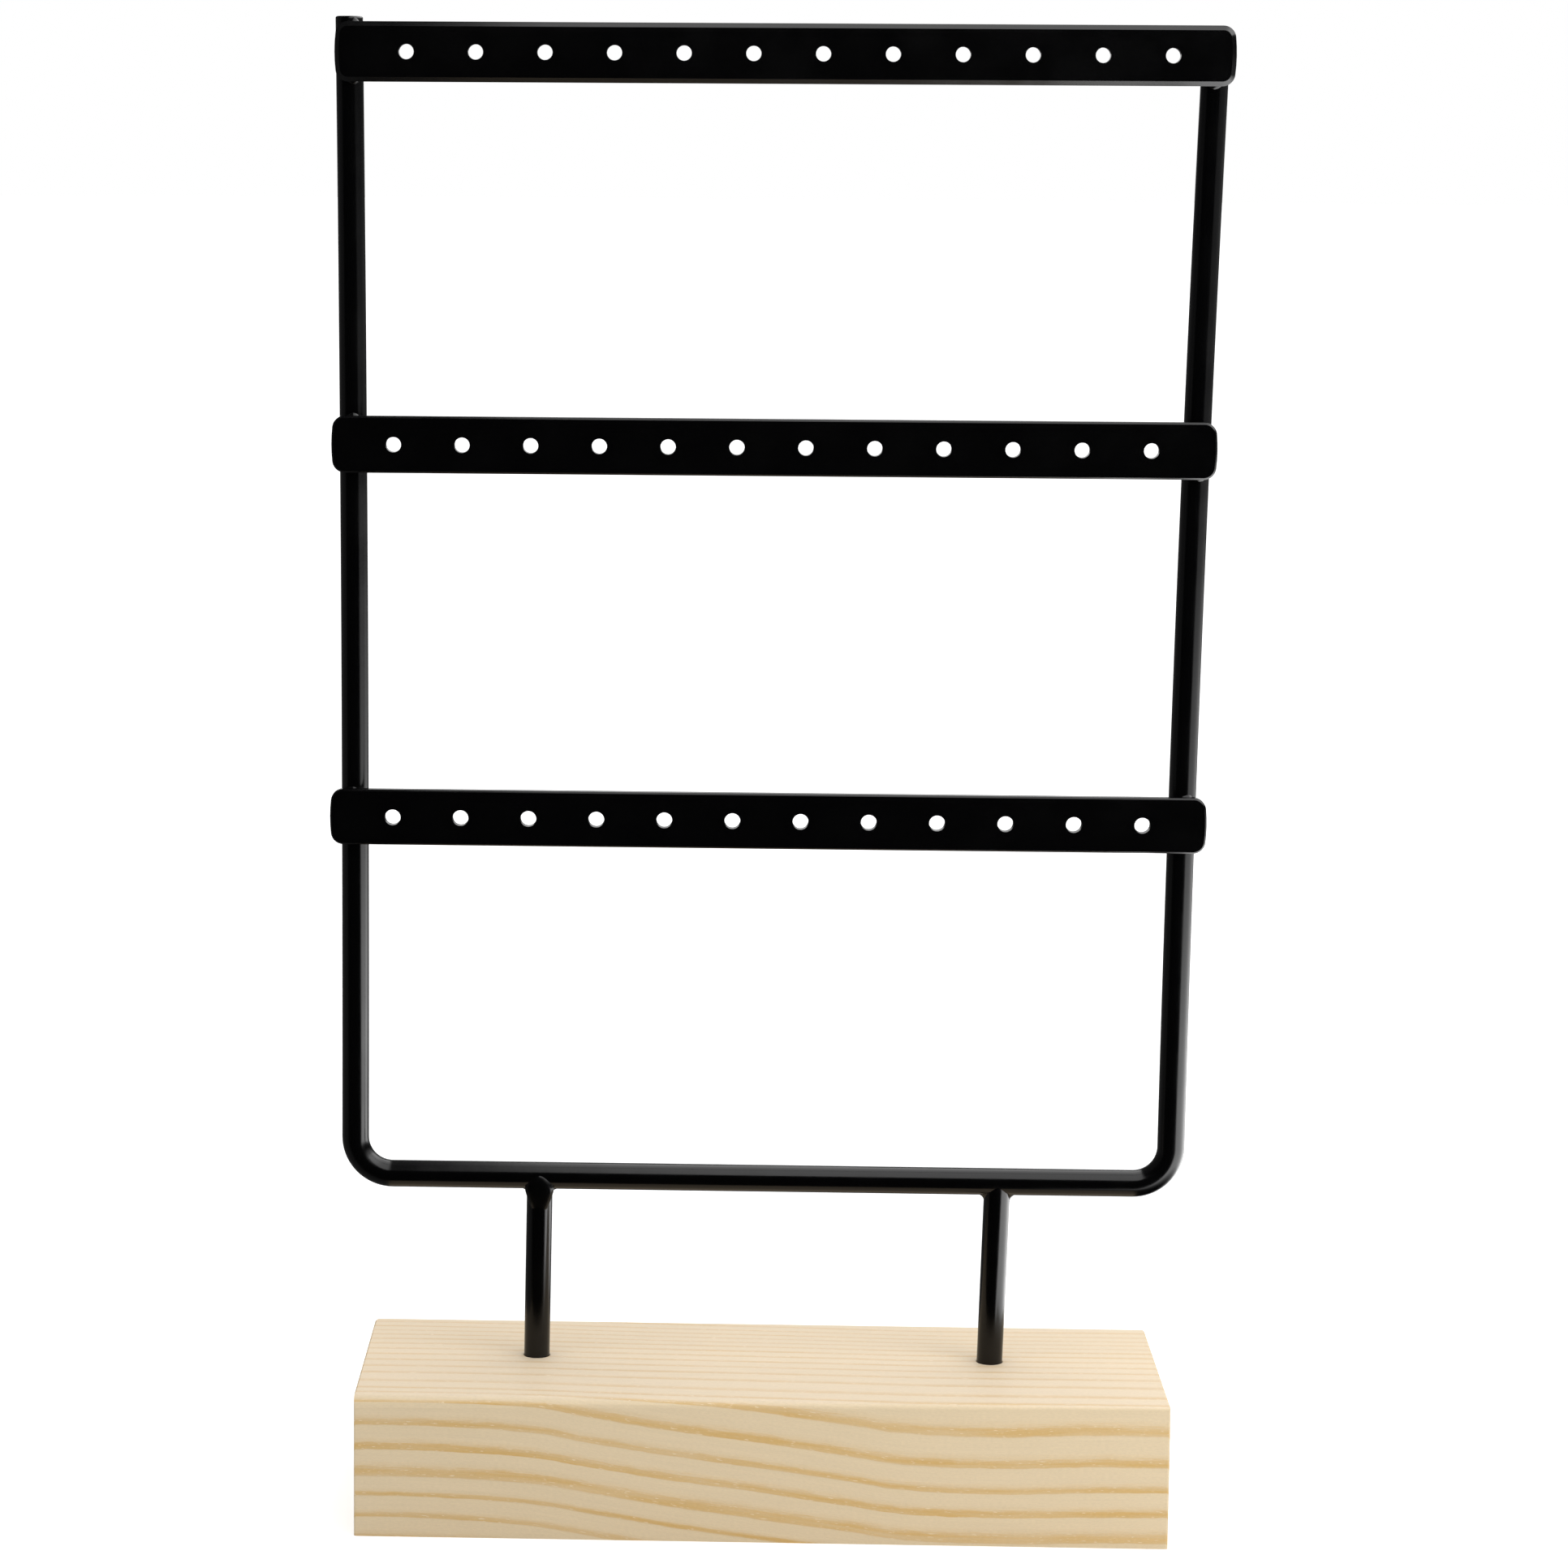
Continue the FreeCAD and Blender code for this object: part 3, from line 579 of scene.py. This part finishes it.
class StandStrips(bpy.types.Operator):
    """Rounds and coats the three punched strips"""

    bl_idname = "earring_stand.strips"
    bl_label = "Punched strips"

    def execute(self, context):
        shape = context.scene.stand_shape
        for strip, ratio in zip(STRIPS, shape.hole_ratios):
            bm = merged_copy(f"{strip}_bar")
            tighten_holes(bm, ratio)
            piece = finish_piece(bm, f"strip_{strip}", coat("strip"), [f"{strip}_bar"])
            soften(piece, shape.strip_round, segments=3)
        return {"FINISHED"}


def rough_up(bm, depth, size, seed):
    """Moves each vertex a little along its normal by smooth noise."""
    bm.normal_update()
    for vert in bm.verts:
        vert.co += vert.normal * depth * noise.noise(vert.co / size + Vector((seed, 0, 0)))


class StandStripWelds(bpy.types.Operator):
    """Lays the weld beads between the strips and the arms"""

    bl_idname = "earring_stand.strip_welds"
    bl_label = "Strip welds"

    def execute(self, context):
        shape = context.scene.stand_shape
        for number, (strip, side) in enumerate((strip, side) for strip in STRIPS for side in SIDES):
            node = f"{strip}_{side}_weld"
            low, high = (Vector(corner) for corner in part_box(node))
            bm = bmesh.new()
            bmesh.ops.create_uvsphere(bm, u_segments=32, v_segments=24, radius=1.0)
            size = (high - low) / 2 - Vector((1, 1, 1)) * shape.weld_ripple / 2
            # a bead is a little squarer than a ball
            squareness = 0.8
            for vert in bm.verts:
                vert.co.z = math.copysign(abs(vert.co.z) ** squareness, vert.co.z)
            bmesh.ops.scale(bm, vec=size, verts=bm.verts)
            bmesh.ops.translate(bm, vec=(high + low) / 2, verts=bm.verts)
            rough_up(bm, shape.weld_ripple, size=1.1 * MM, seed=number)
            finish_piece(bm, f"weld_{strip}_{side}", coat("weld"), [node], sharp_angle=80)
        return {"FINISHED"}


def add_puddle(bm, centre):
    """A bell-shaped puddle of weld that has run up over the front of the wire."""
    half_size = (2.75 * MM, 1.15 * MM, 3.0 * MM)
    offset = Vector((0, -1.85 * MM, 0.4 * MM))
    made = bmesh.ops.create_uvsphere(bm, u_segments=40, v_segments=28, radius=1.0)["verts"]
    for vert in made:
        rise, drop = max(vert.co.z, 0.0), max(-vert.co.z, 0.0)
        # it narrows upwards, and below the wire it runs out flat along the post
        vert.co.x *= 1.0 - 0.2 * rise - 0.4 * drop
        vert.co.y *= 1.0 - 0.6 * drop
        vert.co.z = rise - 1.8 * drop
    bmesh.ops.scale(bm, vec=half_size, verts=made)
    bmesh.ops.translate(bm, vec=centre + offset, verts=made)


class StandPostWelds(bpy.types.Operator):
    """Lays the weld collars where the posts meet the wire"""

    bl_idname = "earring_stand.post_welds"
    bl_label = "Post welds"

    def execute(self, context):
        shape = context.scene.stand_shape
        wire = shape.wire_diameter / 2
        # a hollow fillet from the post's side out to the wire's underside, in millimetres
        outline = [(1.6, -1.5), (2.38, -1.3), (2.44, -0.95), (2.58, -0.6), (2.82, -0.3), (3.1, -0.12),
                   (3.3, 0.1), (2.9, 0.45), (1.6, 0.6)]
        left_drop, crease_climb, front_squeeze, ripple_share = 0.6, 0.8, 0.74, 0.1
        for number, side in enumerate(SIDES):
            node = f"{side}_post_weld"
            low, high = (Vector(corner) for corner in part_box(node))
            centre = Vector(((low.x + high.x) / 2, shape.frame_setback, shape.foot_height - wire))
            bm = bmesh.new()
            # the left fillet is the shorter one
            drop = left_drop if side == "left" else 1.0
            verts = [bm.verts.new((r * MM, 0, (z if z > 0 else drop * z) * MM)) for r, z in outline]
            edges = [bm.edges.new(pair) for pair in zip(verts, verts[1:] + verts[:1])]
            bmesh.ops.spin(bm, geom=verts + edges, cent=(0, 0, 0), axis=(0, 0, 1), angle=math.radians(360),
                           steps=48, use_merge=True)
            bmesh.ops.remove_doubles(bm, verts=bm.verts, dist=MERGE)
            # the crease between two crossing rods climbs towards the front and the back
            for vert in bm.verts:
                climb = wire - math.sqrt(max(wire ** 2 - vert.co.y ** 2, 0.0))
                vert.co.z += crease_climb * climb
                vert.co.y *= front_squeeze
            bmesh.ops.recalc_face_normals(bm, faces=bm.faces)
            bmesh.ops.translate(bm, vec=centre, verts=bm.verts)
            if side == "left":
                add_puddle(bm, centre)
            rough_up(bm, ripple_share * shape.weld_ripple, size=1.3 * MM, seed=number + 9)
            finish_piece(bm, f"collar_{side}", coat("weld"), [node], sharp_angle=80)
        return {"FINISHED"}


def studio_world(studio):
    """White behind the object, soft light that is stronger from the back, and a dark front for the gloss."""
    world = bpy.data.worlds.new("Studio")
    bpy.context.scene.world = world
    world.use_nodes = True
    world.node_tree.nodes.clear()
    n = Nodes(world.node_tree)
    direction = n.add("ShaderNodeSeparateXYZ", {0: n.add("ShaderNodeTexCoord").outputs["Generated"]})
    x, y, z = direction.outputs
    level = n.add("ShaderNodeCombineXYZ", {0: x, 1: y})
    flat = n.vector_math("NORMALIZE", level.outputs[0])
    right = n.remap(n.vector_math("DOT_PRODUCT", flat, TO_THE_BACK_RIGHT), 0.0, 0.15, 0.0, 0.05)
    left = n.remap(n.vector_math("DOT_PRODUCT", flat, TO_THE_BACK_LEFT), 0.0, 0.2, 0.0, 0.1)
    behind = n.remap(y, 0.9, 0.98)
    panel = n.math("MULTIPLY", n.remap(x, 0.3, 0.7), n.remap(z, 0.17, 0.45, 0.0, 1.9))
    glossy = n.math("MAXIMUM", n.math("MAXIMUM", left, right), n.math("MAXIMUM", behind, panel))
    soft = n.remap(y, -1.0, 1.0, 0.6 * studio.sky, 1.4 * studio.sky, smooth=False)
    path = n.add("ShaderNodeLightPath")
    shine = n.math("MAXIMUM", path.outputs["Is Glossy Ray"], path.outputs["Is Transmission Ray"])
    strength = n.math("ADD", n.math("MULTIPLY", glossy, shine),
                      n.math("MULTIPLY", soft, n.math("SUBTRACT", 1.0, shine)))
    lit = n.add("ShaderNodeBackground", {"Color": WHITE, "Strength": strength})
    white = n.add("ShaderNodeBackground", {"Color": WHITE, "Strength": 1.0})
    mix = n.add("ShaderNodeMixShader",
                {0: path.outputs["Is Camera Ray"], 1: lit.outputs[0], 2: white.outputs[0]})
    out = n.add("ShaderNodeOutputWorld")
    n.fill(out.inputs["Surface"], mix.outputs[0])


def floor_material(studio):
    """A pale table that looks white to the camera but keeps the object's shadow."""
    material, n, out = new_material("Pale table")
    path = n.add("ShaderNodeLightPath")
    place = n.add("ShaderNodeSeparateXYZ", {0: n.add("ShaderNodeTexCoord").outputs["Object"]})
    x, y, _ = place.outputs
    grain = n.grain_noise(n.add("ShaderNodeTexCoord").outputs["Object"], 60.0, 2.0)
    tone = n.remap(grain, 0.3, 0.7, 0.99, 1.01, smooth=False)
    scaled = n.add("ShaderNodeVectorMath", {0: tuple(studio.floor), "Scale": tone}, operation="SCALE")
    paint = n.add("ShaderNodeBsdfDiffuse", {"Color": scaled.outputs[0]})
    # painted reflection: the table glows in the gloss of the coating, though it is no lamp, bright at the
    # right, fading with distance, and dark in front
    reach = n.add("ShaderNodeCombineXYZ", {0: x, 1: y})
    away = n.vector_math("LENGTH", reach.outputs[0])
    flat = n.vector_math("NORMALIZE", reach.outputs[0])
    right = n.remap(n.vector_math("DOT_PRODUCT", flat, TO_THE_BACK_RIGHT), -0.02, 0.13)
    right = n.math("MULTIPLY", right,
                   n.remap(n.vector_math("DOT_PRODUCT", flat, TO_THE_RIGHT), 0.25, 0.95))
    far = n.curve(n.math("DIVIDE", away, 2.0),
                  [(0, 1), (0.15, 1), (0.24, 0.82), (0.33, 0.5), (0.46, 0.4), (0.64, 0.28), (0.93, 0.03),
                   (1, 0.02)])
    # painted shade: the glow is dimmed for short rays, so what faces down at the table, as the underside of a
    # bend does, sees it darker there
    far = n.math("MULTIPLY", far, n.remap(path.outputs["Ray Length"], 0.07, 0.14))
    left = n.remap(n.vector_math("DOT_PRODUCT", flat, TO_THE_BACK_LEFT), 0.0, 0.2, 0.0, 0.14)
    gleam = n.math("MAXIMUM", n.math("MULTIPLY", n.math("MULTIPLY", right, far), studio.gleam), left)
    painted_reflection_glow = n.add("ShaderNodeEmission", {"Color": WHITE, "Strength": gleam})
    glow = n.remap(away, 0.15, 0.9, 0.42, 1.0)
    fill = n.add("ShaderNodeEmission", {"Color": WHITE, "Strength": glow})
    seen = n.add("ShaderNodeAddShader", {0: paint.outputs[0], 1: fill.outputs[0]})
    shine = n.math("MAXIMUM", path.outputs["Is Glossy Ray"], path.outputs["Is Transmission Ray"])
    hidden = n.add("ShaderNodeMixShader", {0: shine, 1: paint.outputs[0], 2: painted_reflection_glow.outputs[0]})
    mix = n.add("ShaderNodeMixShader",
                {0: path.outputs["Is Camera Ray"], 1: hidden.outputs[0], 2: seen.outputs[0]})
    n.fill(out.inputs["Surface"], mix.outputs[0])
    return material


def area_lamp(name, place, aim, size, energy, diffuse=True, glossy=True):
    """A soft rectangular lamp that faces a point and isn't seen itself."""
    lamp = bpy.data.lights.new(name, "AREA")
    lamp.shape = "RECTANGLE"
    lamp.size, lamp.size_y = size
    lamp.energy = energy
    holder = bpy.data.objects.new(name, lamp)
    holder.location = place
    holder.rotation_euler = (aim - place).to_track_quat("-Z", "Y").to_euler()
    holder.visible_camera = False
    holder.visible_diffuse = diffuse
    holder.visible_glossy = glossy
    bpy.context.scene.collection.objects.link(holder)


class StandStage(bpy.types.Operator):
    """Sets the floor, the lamps and the camera"""

    bl_idname = "earring_stand.stage"
    bl_label = "Stage"

    def execute(self, context):
        studio = context.scene.stand_studio
        bm = bmesh.new()
        table_radius = 12.0
        bmesh.ops.create_circle(bm, cap_ends=True, segments=96, radius=table_radius)
        mesh = bpy.data.meshes.new("table_top")
        bm.to_mesh(mesh)
        bm.free()
        floor = bpy.data.objects.new("table_top", mesh)
        mesh.materials.append(floor_material(studio))
        context.scene.collection.objects.link(floor)

        above, panel, side = Vector((0.12, 0, 0.46)), Vector((0.29, 0, 0.45)), Vector((0.25, -0.2, 0.12))
        down, block_front = Vector((0, 0, -1)), Vector((0, -0.02, 0.02))
        above_size, panel_size, side_size, panel_gain = (1.3, 1.05), (0.7, 1.05), (0.2, 0.2), 1.43
        area_lamp("Overhead soft lamp", above, above + down, above_size, studio.overhead, glossy=False)
        # the gloss doesn't show that lamp, but a panel that hangs just below it
        area_lamp("Overhead panel in the gloss", panel, panel + down, panel_size,
                  panel_gain * studio.overhead, diffuse=False)
        area_lamp("Key soft lamp", side, block_front, side_size, studio.key, glossy=False)

        studio_world(studio)

        lens = bpy.data.cameras.new("Camera")
        lens.sensor_width = 36.0  # millimetres
        lens.lens = studio.lens
        lens.shift_x, lens.shift_y = studio.shift
        tilt, turn, roll = studio.turn
        camera = bpy.data.objects.new("Camera", lens)
        aim = Matrix.Rotation(-turn, 4, "Z") @ Matrix.Rotation(math.radians(90) - tilt, 4, "X")
        camera.matrix_world = Matrix.Translation(studio.place) @ aim @ Matrix.Rotation(-roll, 4, "Z")
        context.scene.collection.objects.link(camera)
        context.scene.camera = camera
        context.scene.view_settings.view_transform = "Standard"
        return {"FINISHED"}


PIECE_OPERATORS = (StandBlock, StandPosts, StandWire, StandStrips, StandStripWelds, StandPostWelds)


class StandPanel(bpy.types.Panel):
    """Lists the pieces of the stand and its stage"""

    bl_idname = "VIEW3D_PT_earring_stand"
    bl_label = "Earring Stand"
    bl_space_type = "VIEW_3D"
    bl_region_type = "UI"
    bl_category = "Earring Stand"

    def draw(self, context):
        for operator in (*PIECE_OPERATORS, StandStage):
            self.layout.operator(operator.bl_idname)
        for group in (context.scene.stand_shape, context.scene.stand_finish, context.scene.stand_studio):
            box = self.layout.box()
            for name in group.bl_rna.properties.keys():
                if name not in ("rna_type", "name"):
                    box.prop(group, name)


GROUPS = {"stand_shape": StandShape, "stand_finish": StandFinish, "stand_studio": StandStudio}
CLASSES = (*GROUPS.values(), *PIECE_OPERATORS, StandStage, StandPanel)


def register():
    for cls in CLASSES:
        bpy.utils.register_class(cls)
    for name, group in GROUPS.items():
        setattr(bpy.types.Scene, name, PointerProperty(type=group))


def unregister():
    for name in GROUPS:
        delattr(bpy.types.Scene, name)
    for cls in reversed(CLASSES):
        bpy.utils.unregister_class(cls)


def main():
    """Builds every piece in order, then the stage."""
    register()
    for operator in (*PIECE_OPERATORS, StandStage):
        category, name = operator.bl_idname.split(".")
        getattr(getattr(bpy.ops, category), name)()


if __name__ == "__main__":
    main()
